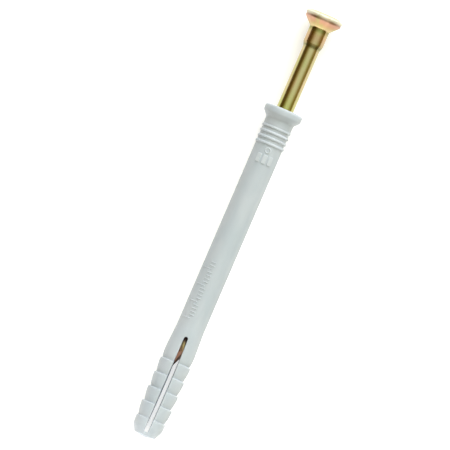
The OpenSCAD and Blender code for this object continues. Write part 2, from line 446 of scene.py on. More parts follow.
class NodeSheet:
    """A small helper that lays out the nodes of a material or of the world."""

    def __init__(self, owner: bpy.types.Material | bpy.types.World, shader: str) -> None:
        """Opens the owner's nodes.

        Args:
            owner: The material or world that the nodes belong to.
            shader: The name of the shader node that is fed.
        """
        owner.use_nodes = True
        self.tree = owner.node_tree
        self.shader = self.tree.nodes[shader]

    def add(self, kind: str, **inputs: object) -> bpy.types.Node:
        """Adds a node and fills its inputs.

        Args:
            kind: The node's type without its Shader Node prefix.
            **inputs: Values or sockets by input name, with _ for a blank.

        Returns:
            The new node.
        """
        node = self.tree.nodes.new("ShaderNode" + kind)
        for name, value in inputs.items():
            self.feed(node.inputs[name.replace("_", " ")], value)
        return node

    def feed(self, socket: bpy.types.NodeSocket, value: object) -> None:
        """Links a socket to another or sets its value.

        Args:
            socket: The input socket.
            value: An output socket, a number, a colour or a vector.
        """
        if isinstance(value, bpy.types.NodeSocket):
            self.tree.links.new(value, socket)
        elif isinstance(value, tuple) and len(value) == 3 and socket.type == "RGBA":
            socket.default_value = (*value, 1.0)
        else:
            socket.default_value = value

    def coordinates(self, kind: str) -> Socket:
        """Returns the coordinates of a kind: Object or Generated."""
        return self.tree.nodes.new("ShaderNodeTexCoord").outputs[kind]

    def place(self, axis: PlugAxis, stretch: Triple = (1.0, 1.0, 1.0)) -> Socket:
        """Gives coordinates in metres that run along the plug from its tip.

        Args:
            axis: The plug's axis.
            stretch: How much each coordinate is multiplied.

        Returns:
            The coordinates' socket: x along the plug, y and z across it.
        """
        along = axis.direction()
        from_tip = self.vector("SUBTRACT", self.coordinates("Object"), axis.tip())
        turned = self.add("VectorRotate", Vector=from_tip)
        turned.rotation_type = "Y_AXIS"
        turned.inputs["Angle"].default_value = math.atan2(along.z, along.x)
        return self.vector("MULTIPLY", turned.outputs["Vector"], stretch)

    def vector(self, operation: str, one: object, other: object = (0.0, 0.0, 0.0)) -> Socket:
        """Does one sum with vectors.

        Args:
            operation: The node's name for the sum.
            one: The first vector, or its socket.
            other: The second vector, where the sum has one.

        Returns:
            The result's socket, which is a number for a dot product or a length.
        """
        node = self.tree.nodes.new("ShaderNodeVectorMath")
        node.operation = operation
        self.feed(node.inputs[0], one)
        self.feed(node.inputs[1], other)
        return node.outputs["Value" if operation in ("DOT_PRODUCT", "LENGTH") else "Vector"]

    def number(self, operation: str, one: Socket, other: object) -> Socket:
        """Does one sum with numbers.

        Args:
            operation: The node's name for the sum.
            one: The first number's socket.
            other: The second number, or its socket.

        Returns:
            The result's socket.
        """
        node = self.tree.nodes.new("ShaderNodeMath")
        node.operation = operation
        self.feed(node.inputs[0], one)
        self.feed(node.inputs[1], other)
        return node.outputs["Value"]

    def noise(self, where: Socket, scale: float, detail: float = 3.0) -> Socket:
        """Returns smooth noise from 0 to 1 at a scale per metre."""
        return self.add("TexNoise", Vector=where, Scale=scale, Detail=detail).outputs["Fac"]

    def ramp(self, factor: Socket, stops: Sequence[tuple[float, Colour]]) -> Socket:
        """Gives a colour that goes through stops as a factor grows.

        Args:
            factor: The factor, from 0 to 1.
            stops: The factor's value and the colour at each stop.

        Returns:
            The colour's socket.
        """
        node = self.add("ValToRGB", Fac=factor)
        elements = node.color_ramp.elements
        while len(elements) < len(stops):
            elements.new(0.5)
        for element, (position, colour) in zip(elements, stops):
            element.position = position
            element.color = (*colour, 1.0)
        return node.outputs["Color"]

    def range(self, value: Socket, low: float, high: float, out: Pair = (0.0, 1.0)) -> Socket:
        """Maps a value from one range to another, held at its ends.

        Args:
            value: The value.
            low: Where it comes to the first end.
            high: Where it comes to the other end.
            out: The result at the two ends.

        Returns:
            The result's socket.
        """
        node = self.add("MapRange", Value=value)
        for name, number in zip(("From Min", "From Max", "To Min", "To Max"), (low, high, *out)):
            node.inputs[name].default_value = number
        return node.outputs["Result"]

    def mix(self, factor: object, one: object, other: object, blend: str = "MIX") -> Socket:
        """Mixes two colours.

        Args:
            factor: How much of the other colour is mixed in, from 0 to 1.
            one: The first colour.
            other: The other colour.
            blend: How the two are blended.

        Returns:
            The mixed colour's socket.
        """
        node = self.tree.nodes.new("ShaderNodeMix")
        node.data_type = "RGBA"
        node.blend_type = blend
        self.feed(node.inputs[0], factor)
        self.feed(node.inputs[6], one)
        self.feed(node.inputs[7], other)
        return node.outputs[2]

    def part(self, where: Socket, letter: str) -> Socket:
        """Returns one coordinate, by its letter."""
        return self.add("SeparateXYZ", Vector=where).outputs[letter]

    def grained(self, axis: PlugAxis, grain: Grain) -> Socket:
        """Gives the shader a fine grain and soft edges.

        Args:
            axis: The plug's axis.
            grain: The grain.

        Returns:
            The roughness that goes with the grain.
        """
        fine = self.noise(self.place(axis, grain.stretch), grain.scale, grain.detail)
        soft = self.add("Bevel", Radius=grain.edge)
        soft.samples = grain.edge_samples
        raised = self.add("Bump", Height=fine, Distance=grain.depth, Normal=soft.outputs["Normal"])
        self.feed(self.shader.inputs["Normal"], raised.outputs["Normal"])
        return self.range(fine, *grain.span, grain.roughness)


@dataclass(frozen=True)
class SleevePlastic:
    """Light grey moulded plastic: satin, faintly cool, and a little translucent."""

    light: Colour = (0.540, 0.592, 0.680)
    cool: Colour = (0.495, 0.558, 0.648)
    # The tint drifts along the flow: noise for each metre, its stretch and where it turns
    flow_scale: float = 260.0
    flow_detail: float = 2.0
    flow_stretch: Triple = (0.35, 1.0, 1.0)
    flow_span: Pair = (0.35, 0.65)
    # The raised marks under the rings are painted pale as a painted highlight, between heights and above a
    # radius
    mark_highlight: Colour = (0.578, 0.632, 0.722)
    mark_highlight_low: float = 82.9
    mark_highlight_high: float = 88.5
    mark_highlight_r: float = 4.03
    mark_highlight_rise: float = 0.08
    mark_highlight_fade: float = 0.1
    grain: Grain = Grain(scale=9000.0, depth=0.00001, roughness=(0.42, 0.55), edge=0.00016)
    ior: float = 1.48
    translucence: float = 0.35
    light_spread: Triple = (0.9, 1.0, 0.95)
    light_depth: float = 0.0012

    def material(self, axis: PlugAxis) -> bpy.types.Material:
        """Builds the plastic.

        Args:
            axis: The plug's axis, along which the plastic flowed in its mould.

        Returns:
            The material.
        """
        material = bpy.data.materials.new("sleeve_plastic")
        sheet = NodeSheet(material, "Principled BSDF")
        flow = sheet.noise(sheet.place(axis, self.flow_stretch), self.flow_scale, self.flow_detail)
        colour = sheet.mix(sheet.range(flow, *self.flow_span), self.cool, self.light)
        inputs = sheet.shader.inputs
        # The raised marks get a paler colour: a painted highlight on their relief
        sheet.feed(inputs["Base Color"], sheet.mix(self.raised(sheet, axis), colour, self.mark_highlight))
        sheet.feed(inputs["Roughness"], sheet.grained(axis, self.grain))
        inputs["IOR"].default_value = self.ior
        inputs["Subsurface Weight"].default_value = self.translucence
        inputs["Subsurface Radius"].default_value = self.light_spread
        inputs["Subsurface Scale"].default_value = self.light_depth
        return material

    def raised(self, sheet: NodeSheet, axis: PlugAxis) -> Socket:
        """Finds the raised marks under the rings by their place, where their painted highlight goes.

        Args:
            sheet: The material's nodes.
            axis: The plug's axis.

        Returns:
            A socket that is 1 on top of the marks and 0 elsewhere.
        """
        fade = self.mark_highlight_fade
        radius = sheet.vector("LENGTH", sheet.place(axis, (0.0, 1.0, 1.0)))
        proud = sheet.range(radius, self.mark_highlight_r * MM, (self.mark_highlight_r + self.mark_highlight_rise) * MM)
        height = sheet.part(sheet.place(axis), "X")
        above = sheet.range(height, self.mark_highlight_low * MM, (self.mark_highlight_low + fade) * MM)
        below = sheet.range(height, self.mark_highlight_high * MM, (self.mark_highlight_high - fade) * MM)
        return sheet.number("MULTIPLY", proud, sheet.number("MULTIPLY", above, below))


@dataclass(frozen=True)
class YellowZinc:
    """Yellow passivated zinc, whose tint drifts along the nail as its film grows thicker, with painted
    shade and a painted reflection laid into the tint by the height.
    """

    # The film's tint by the height on the nail, in millimetres above the sleeve's tip, with painted shade
    # in its dark bands and a painted reflection in its pale band on the rim
    tints_and_painted_shade: tuple[tuple[float, Colour], ...] = (
        (21.0, (0.40, 0.34, 0.30)),
        (23.4, (0.55, 0.36, 0.28)),
        # The point's orange is partly the film's colour and partly painted light, brightened where the slot
        # keeps light off
        (25.2, (0.80, 0.44, 0.32)),
        (26.6, (0.78, 0.50, 0.30)),
        (28.0, (0.48, 0.40, 0.21)),
        # Painted shade: near black where the slot's round top shades the nail in the bore
        (29.0, (0.12, 0.08, 0.06)),
        (29.6, (0.04, 0.02, 0.025)),
        (30.6, (0.04, 0.02, 0.025)),
        (31.5, (0.42, 0.38, 0.18)),
        (101.0, (0.53, 0.50, 0.21)),
        (106.0, (0.57, 0.49, 0.27)),
        (118.4, (0.57, 0.48, 0.28)),
        # Painted shade: a dark band in the corner where the shank steps up to the neck
        (119.3, (0.24, 0.24, 0.12)),
        (120.2, (0.51, 0.39, 0.22)),
        (122.2, (0.56, 0.38, 0.23)),
        (123.6, (0.50, 0.42, 0.20)),
        # Painted shade: a dark line at the neck's top, in the fillet under the head's cone
        (124.15, (0.22, 0.22, 0.07)),
        (124.5, (0.26, 0.24, 0.08)),
        (124.75, (0.68, 0.56, 0.30)),
        (125.6, (0.62, 0.45, 0.23)),
        (126.2, (0.62, 0.35, 0.22)),
        (127.35, (0.66, 0.39, 0.31)),
        # Painted shade: a dark line under the rim's lip
        (127.55, (0.24, 0.17, 0.14)),
        (127.8, (0.24, 0.18, 0.15)),
        # Painted reflection: the rim's bevel made nearly white, as if mirroring the bright light
        (127.95, (0.78, 0.76, 0.62)),
        (128.7, (0.94, 0.93, 0.84)),
        (129.0, (0.66, 0.57, 0.31)),
    )
    olive: Colour = (0.44, 0.47, 0.17)
    rosy: Colour = (0.76, 0.50, 0.33)
    # Partly the plating's colour and partly painted light on the point's lit facet
    ruddy: Colour = (0.80, 0.40, 0.29)
    # Painted shade for the point's dark facet
    facet_painted_shade: Colour = (0.09, 0.06, 0.05)
    # Rosy and olive patches: where the drift starts and ends each, and how strong it gets
    drift_scale: float = 420.0
    drift_stretch: Triple = (0.30, 1.0, 1.0)
    rosy_span: Triple = (0.54, 0.70, 0.50)
    olive_span: Triple = (0.47, 0.30, 0.75)
    # Where the point's colours, a ruddy facet and a facet of painted shade, start, over what height they
    # come in and how strongly
    point_top: float = 25.8
    point_fade: float = 0.8
    point_share: float = 0.85
    # The point's dark facet, which is painted shade, lies to the right of a slanted edge, which passes
    # through a place given as height and distance to the left, and leans by so much for each millimetre up
    facet_edge: Pair = (24.5, -0.10)
    facet_lean: float = 0.3
    facet_fade: float = 0.12
    reach: float = 130.0
    # How much duller the head is, by the height
    dullness: tuple[Pair, ...] = (
        (124.6, 0.0),
        (125.6, 0.22),
        (127.6, 0.26),
        (128.2, 0.40),
        (128.8, 0.40),
        (129.0, 0.14),
    )
    # How metallic the plating looks by the height, which is less on the point and on the rim
    metal: tuple[Pair, ...] = (
        (25.2, 0.30),
        (26.4, 1.0),
        (127.8, 1.0),
        (128.05, 0.35),
        (128.8, 0.35),
        (129.0, 1.0),
    )
    grain: Grain = Grain(
        scale=6000.0, depth=0.000006, roughness=(0.15, 0.24), edge=0.00008, stretch=(0.25, 1.0, 1.0)
    )

    def material(self, axis: PlugAxis) -> bpy.types.Material:
        """Builds the plating.

        Args:
            axis: The plug's axis, along which the nail was drawn.

        Returns:
            The material.
        """
        material = bpy.data.materials.new("yellow_zinc")
        sheet = NodeSheet(material, "Principled BSDF")
        where = sheet.place(axis)
        height = sheet.range(sheet.part(where, "X"), 0.0, self.reach * MM)
        drift = sheet.noise(sheet.place(axis, self.drift_stretch), self.drift_scale)
        # This tint by the height carries painted shade and the rim's painted reflection
        tint = self.by_height(sheet, height, self.tints_and_painted_shade)
        for (start, end, most), colour in ((self.rosy_span, self.rosy), (self.olive_span, self.olive)):
            tint = sheet.mix(sheet.range(drift, start, end, (0.0, most)), tint, colour)
        start, end = ((self.point_top + way * self.point_fade) / self.reach for way in (1, -1))
        on_point = sheet.range(height, start, end, (0.0, self.point_share))
        inputs = sheet.shader.inputs
        # The point takes its facets' colours: a ruddy facet, partly painted light, and a facet of painted
        # shade
        sheet.feed(inputs["Base Color"], sheet.mix(on_point, tint, self.facets(sheet, where)))
        sheet.feed(inputs["Metallic"], self.by_height(sheet, height, self.metal))
        dull = self.by_height(sheet, height, self.dullness)
        sheet.feed(inputs["Roughness"], sheet.number("ADD", sheet.grained(axis, self.grain), dull))
        return material

    def by_height(self, sheet: NodeSheet, height: Socket, levels: Sequence[tuple]) -> Socket:
        """Looks up a colour or an amount by the height.

        Args:
            sheet: The material's nodes.
            height: The height as a share of the nail's reach.
            levels: Heights in millimetres, each with its colour or amount.

        Returns:
            The socket of the colour or amount.
        """
        stops = []
        for level, value in levels:
            stops.append((level / self.reach, value if isinstance(value, tuple) else (value,) * 3))
        return sheet.ramp(height, stops)

    def facets(self, sheet: NodeSheet, where: Socket) -> Socket:
        """Colours the point: ruddy on the left, partly the plating's colour and partly painted light, and
        dark on the facet right of a slanted edge, which is painted shade.

        Args:
            sheet: The material's nodes.
            where: The coordinates along the plug.

        Returns:
            The colour's socket.
        """
        beside = sheet.vector("DOT_PRODUCT", where, (self.facet_lean, 1.0, 0.0))
        edge = self.facet_edge[1] + self.facet_lean * self.facet_edge[0]
        lit = sheet.range(beside, (edge - self.facet_fade) * MM, (edge + self.facet_fade) * MM)
        return sheet.mix(lit, self.facet_painted_shade, self.ruddy)


@dataclass(frozen=True)
class FloorPaper:
    """Matt white sheet on a light table, which keeps the shadows faint."""

    white: Colour = (0.62, 0.62, 0.615)
    shade: Colour = (0.6107, 0.6107, 0.6058)
    mottle_scale: float = 30.0
    roughness: float = 0.9
    gloss: float = 0.1
    glow: float = 0.60
    glow_colour: Colour = (1.0, 1.0, 0.99)

    def material(self) -> bpy.types.Material:
        """Builds the sheet.

        Returns:
            The material, with a very faint mottling.
        """
        material = bpy.data.materials.new("floor_paper")
        sheet = NodeSheet(material, "Principled BSDF")
        mottling = sheet.noise(sheet.coordinates("Object"), self.mottle_scale)
        inputs = sheet.shader.inputs
        sheet.feed(inputs["Base Color"], sheet.mix(mottling, self.shade, self.white))
        inputs["Roughness"].default_value = self.roughness
        inputs["Specular IOR Level"].default_value = self.gloss
        sheet.feed(inputs["Emission Color"], self.glow_colour)
        inputs["Emission Strength"].default_value = self.glow
        return material


# The plug's pieces


@dataclass(frozen=True)
class MouldMarks:
    """Raised marks from the mould: a row of depth ticks, and a ring over three small pads."""

    proud: float = 0.16
    root: float = 0.20
    # How much of its height is bevelled off a mark's edges
    bevel_share: float = 0.6
    tick_width: float = 0.30
    tick_steps: int = 8
    tick_count: int = 18
    tick_first: float = 35.6
    tick_pitch: float = 1.0
    long_every: int = 5
    tick_span: float = 1.5
    long_span: float = 2.7
    aside: float = 0.2
    ring_height: float = 87.4
    ring_r: float = 0.72
    ring_wire: float = 0.22
    ring_sunk: float = 0.05
    ring_segments: int = 32
    wire_segments: int = 10
    pad_height: float = 84.75
    pad_len: float = 2.6
    pad_width: float = 1.25
    pad_pitch: float = 1.75
    pad_proud: float = 0.22

    def tick(self, height: float, span: float, surface_r: float) -> bpy.types.Object:
        """Models one tick, which is curved round the shank.

        Args:
            height: The height of the tick's middle.
            span: The tick's length round the shank.
            surface_r: The shank's radius.

        Returns:
            The closed tick.
        """
        turn = span / surface_r
        start = Matrix.Rotation((self.aside - span / 2) / surface_r, 3, "Z")
        foot, top = self.tick_width / 2, self.tick_width / 2 - self.proud * self.bevel_share
        profile = [
            (surface_r - self.root, -foot),
            (surface_r, -foot),
            (surface_r + self.proud, -top),
            (surface_r + self.proud, top),
            (surface_r, foot),
            (surface_r - self.root, foot),
        ]
        obj = draw_line("tick", [start @ Vector((-r, 0, height + z)) * MM for r, z in profile])
        bpy.ops.mesh.select_all(action="SELECT")
        bpy.ops.mesh.edge_face_add()
        spin_selected(self.tick_steps, turn)
        return close_solid(obj)

    def pad(self, side: float, surface_r: float) -> bpy.types.Object:
        """Models one small pad with bevelled edges.

        Args:
            side: How far round the shank the pad stands.
            surface_r: The shank's radius.

        Returns:
            The closed pad.
        """
        bpy.ops.object.select_all(action="DESELECT")
        bpy.ops.mesh.primitive_cube_add(size=MM)
        obj = bpy.context.object
        edit_only(obj)
        bpy.ops.mesh.select_all(action="SELECT")
        bpy.ops.transform.resize(value=(self.root + self.pad_proud, self.pad_width, self.pad_len))
        bpy.ops.mesh.bevel(offset=self.pad_proud * self.bevel_share * MM, segments=2, affect="EDGES")
        centre_r = surface_r + (self.pad_proud - self.root) / 2
        bpy.ops.transform.translate(value=(-centre_r * MM, 0, self.pad_height * MM))
        close_edit(obj)
        obj.data.transform(Matrix.Rotation(side / surface_r, 4, "Z"))
        return obj

    def ring(self, surface_r: float) -> bpy.types.Object:
        """Models the small ring, whose wire lies a little over half in the shank.

        Args:
            surface_r: The shank's radius.

        Returns:
            The closed ring.
        """
        bpy.ops.object.select_all(action="DESELECT")
        bpy.ops.mesh.primitive_torus_add(
            rotation=(0, math.pi / 2, 0),
            location=(-(surface_r - self.ring_sunk) * MM, -self.aside * MM, self.ring_height * MM),
            major_radius=self.ring_r * MM,
            minor_radius=self.ring_wire * MM,
            major_segments=self.ring_segments,
            minor_segments=self.wire_segments,
        )
        obj = bpy.context.object
        bpy.ops.object.transform_apply(location=True, rotation=True, scale=True)
        return obj

    def build(self, surface_r: float) -> bpy.types.Object:
        """Models all marks as one object.

        Args:
            surface_r: The radius of the shank that they stand on.

        Returns:
            The joined marks.
        """
        marks = [self.ring(surface_r)]
        marks += [self.pad(self.aside + place * self.pad_pitch, surface_r) for place in (-1, 0, 1)]
        for index in range(self.tick_count):
            span = self.long_span if index % self.long_every == 0 else self.tick_span
            marks.append(self.tick(self.tick_first + index * self.tick_pitch, span, surface_r))
        return join_up(marks)


@dataclass
class Sleeve:
    """The moulded sleeve: collar, grip rings, shank, split barbed legs and bore."""

    axis: PlugAxis
    finish: SleevePlastic = field(default_factory=SleevePlastic)
    marks: MouldMarks = field(default_factory=MouldMarks)
    length: float = 100.0
    shank_d: float = 8.0
    collar_d: float = 11.2
    collar_band: float = 1.9
    collar_cone: float = 1.6
    collar_top_round: float = 0.7
    collar_low_round: float = 0.9
    collar_root_round: float = 0.9
    collar_neck_d: float = 8.25
    ring_count: int = 4
    ring_start: float = 5.95
    ring_pitch: float = 1.6
    ring_d: float = 8.7
    ring_round: float = 0.42
    ring_steps: int = 10
    barb_count: int = 5
    barb_start: float = 5.2
    barb_pitch: float = 4.35
    barb_d: float = 9.1
    lead_barb_d: float = 8.7
    # A ledge's rounding, and how much of it the ledge's rim and its root get
    barb_edge: float = 0.22
    rim_share: float = 0.9
    root_share: float = 0.5
    core_low_d: float = 7.95
    core_high_d: float = 8.25
    leg_d: float = 8.75
    swell_low: float = 2.3
    swell_high: float = 3.6
    swell_run: float = 2.8
    swell_round: float = 6.0
    nose_len: float = 2.75
    nose_d: float = 8.5
    nose_round: float = 1.5
    tip_d: float = 6.2
    tip_dome: float = 0.5
    tip_edge: float = 0.4
    crown_share: float = 0.12
    crown_round: float = 1.5
    tip_web: float = 1.4
    slot_lead: float = 7.8
    slot_w: float = 1.1
    # The clear gap between the rounded edges, how far the legs bow on the near and the far side,
    # and how the edges are rounded
    slot_gap: float = 1.10
    near_bows: Pair = (0.06, 0.28)
    far_bows: Pair = (-0.26, 0.12)
    slot_edge: float = 0.27
    edge_steps: int = 5
    edge_turn: float = math.radians(18)
    top_steps: int = 16
    bore_d: float = 5.1
    bore_lead: float = 5.3
    bore_slope: float = math.radians(16)
    pilot_d: float = 2.2
    mouth_bevel: float = 0.8
    mouth_rounds: Pair = (0.1, 0.2)
    segments: int = 144

    @property
    def high_barb(self) -> float:
        """The height of the highest barb's ledge."""
        return self.barb_height(self.barb_count - 1)

    @property
    def slot_top(self) -> float:
        """The height of the slot's round top."""
        return self.high_barb + self.slot_lead

    @property
    def slot_turn(self) -> float:
        """The height at which the slot's sides run into its round top."""
        return self.slot_top - self.slot_w / 2

    def barb_height(self, index: int) -> float:
        """Returns the height of a barb's ledge, counted from the lowest barb."""
        return self.barb_start + index * self.barb_pitch

    def slot_side(self, height: float, bow: float) -> float:
        """Returns how far a side of the slot lies from its middle at a height.

        Args:
            height: The height.
            bow: How far the leg on that side is bowed outwards.

        Returns:
            The distance.
        """
        middle = (self.tip_web + self.slot_turn) / 2
        half = (self.slot_turn - self.tip_web) / 2
        return self.slot_gap / 2 + bow * (1 - ((height - middle) / half) ** 2)

    def core_r(self, index: int) -> float:
        """Returns the radius of the legs' core above a barb's ledge."""
        grown = (self.core_high_d - self.core_low_d) * index / (self.barb_count - 1)
        return (self.core_low_d + grown) / 2

    def leg_corners(self) -> list[Corner]:
        """Lays out the legs, from the tip's centre to the end of their taper.

        Returns:
            The outline's corners.
        """
        edge = self.barb_edge
        corners = [
            Corner(0, 0),
            Corner(self.tip_d * self.crown_share, self.tip_dome * self.crown_share, self.crown_round),
            Corner(self.tip_d / 2, self.tip_dome, self.tip_edge),
            Corner(self.nose_d / 2, self.nose_len, self.nose_round),
        ]
        for index in range(self.barb_count):
            height = self.barb_height(index)
            radius = (self.lead_barb_d if index == 0 else self.barb_d) / 2
            if index > 0:
                foot = (self.core_r(index - 1), height - self.barb_pitch + edge)
                corners += flank(foot, (radius, height - edge))
                corners.append(Corner(radius, height - edge))
            corners.append(Corner(radius, height, edge * self.rim_share))
            corners.append(Corner(self.core_r(index), height, edge * self.root_share))
        swell = (self.leg_d / 2, self.high_barb + self.swell_low)
        corners += flank((self.core_r(self.barb_count - 1), self.high_barb + edge), swell)
        corners.append(Corner(*swell))
        corners.append(Corner(self.leg_d / 2, self.high_barb + self.swell_high, self.swell_round))
        corners.append(Corner(self.shank_d / 2, self.slot_top + self.swell_run, self.swell_round))
        return corners

    def ring_corners(self) -> list[Corner]:
        """Lays out the grip rings, from the lowest up.

        Returns:
            The outline's corners.
        """
        corners = []
        centre_r = self.ring_d / 2 - self.ring_round
        for index in reversed(range(self.ring_count)):
            middle = self.length - self.ring_start - index * self.ring_pitch
            upper_r = (self.collar_neck_d if index == 0 else self.shank_d) / 2
            low = -math.acos((self.shank_d / 2 - centre_r) / self.ring_round)
            high = math.acos((upper_r - centre_r) / self.ring_round)
            for k in range(self.ring_steps + 1):
                angle = low + (high - low) * k / self.ring_steps
                across, up = self.ring_round * math.cos(angle), self.ring_round * math.sin(angle)
                corners.append(Corner(centre_r + across, middle + up))
        return corners

    def collar_corners(self) -> list[Corner]:
        """Lays out the collar and the bore.

        Returns:
            The outline's corners, over the collar and down the bore to the web at the tip.
        """
        under = self.length - self.collar_band
        bore_r, pilot_r = self.bore_d / 2, self.pilot_d / 2
        bore_end = self.slot_top - self.bore_lead
        pilot_top = bore_end - (bore_r - pilot_r) / math.tan(self.bore_slope)
        return [
            Corner(self.collar_neck_d / 2, under - self.collar_cone, self.collar_root_round),
            Corner(self.collar_d / 2, under, self.collar_low_round),
            Corner(self.collar_d / 2, self.length, self.collar_top_round),
            Corner(bore_r + self.mouth_bevel, self.length, self.mouth_rounds[0]),
            Corner(bore_r, self.length - self.mouth_bevel, self.mouth_rounds[1]),
            Corner(bore_r, bore_end),
            Corner(pilot_r, pilot_top),
            Corner(pilot_r, self.tip_web),
            Corner(0, self.tip_web),
        ]

    def slot_rim(self, outline: Outline, bows: Pair) -> list[tuple[Vector, Vector, float]]:
        """Follows the slot's rim as seen through it.

        Args:
            outline: The sleeve's outline as (radius, height).
            bows: How far the two legs bow outwards there.

        Returns:
            For each point of the rim its place and its outward direction, both across and
            up, and the sleeve's radius there.
        """
        low, turn = self.tip_web, self.slot_turn
        # Only the outside counts, and each point of a side lies a little above the last
        outside, apart = self.shank_d / 2 - 0.1, 0.002
        wall = [(r, z) for r, z in outline if low < z < turn and r > outside]
        wall = [(radius_at(outline, low), low)] + wall + [(radius_at(outline, turn), turn)]
        sides = []
        for way, bow in zip((1, -1), bows):
            side = []
            height = 0.0
            for index, (radius, z) in enumerate(wall):
                height = max(z, height + apart)
                away = Vector((way, -1)) if index == 0 else Vector((way, 0))
                side.append((Vector((way * self.slot_side(height, bow), height)), away, radius))
            sides.append(side)
        top = []
        for k in range(1, self.top_steps):
            angle = math.pi * k / self.top_steps
            away = Vector((math.cos(angle), math.sin(angle)))
            place = Vector((0, turn)) + away * self.slot_gap / 2
            top.append((place, away, radius_at(outline, place.y)))
        return sides[0] + top + sides[1][::-1]

    def cut_slot(self, obj: bpy.types.Object, outline: Outline) -> None:
        """Cuts the slot through both walls, with rounded edges that follow the barbs.

        Args:
            obj: The sleeve.
            outline: The sleeve's outline as (radius, height).
        """
        # How far each ring of the cutter is spread, and how deep it lies under the surface
        spreads = []
        for k in range(self.edge_steps):
            angle = k * self.edge_turn
            spreads.append((self.slot_edge * (1 - math.cos(angle)), self.slot_edge * (1 - math.sin(angle))))
        # The cutter then goes on straight, and it follows the surface no further aside than a share
        over, side_limit = 0.3, 0.9
        spreads.append((spreads[-1][0] + over * math.sin(angle), spreads[-1][1] - over * math.cos(angle)))
        halves = []
        for way, bows in ((-1, self.near_bows), (1, self.far_bows)):
            half = []
            for spread, depth in spreads:
                ring = []
                for at, away, radius in self.slot_rim(outline, bows):
                    place = at + away * spread
                    surface = math.sqrt(radius**2 - min(abs(place.x), radius * side_limit) ** 2)
                    ring.append(Vector((way * (surface - depth), place.x, place.y)) * MM)
                half.append(ring)
            half.append([Vector((way * self.barb_d * MM, point.y, point.z)) for point in half[-1]])
            halves.append(half)
        combine(obj, pull_through("slot_cutter", halves[0][::-1] + halves[1]), Join.CUT)

    def build(self) -> bpy.types.Object:
        """Models the sleeve, dresses it and lays it down.

        Returns:
            The finished sleeve.
        """
        outline = rounded(self.leg_corners() + self.ring_corners() + self.collar_corners())
        obj = turn_outline("sleeve_moulding", outline, self.segments)
        combine(obj, self.marks.build(self.shank_d / 2), Join.ADD)
        self.cut_slot(obj, outline)
        self.axis.lay_down(obj)
        dress(obj, self.finish.material(self.axis))
        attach(obj, ROOT_BODY)
        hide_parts("sleeve")
        return obj


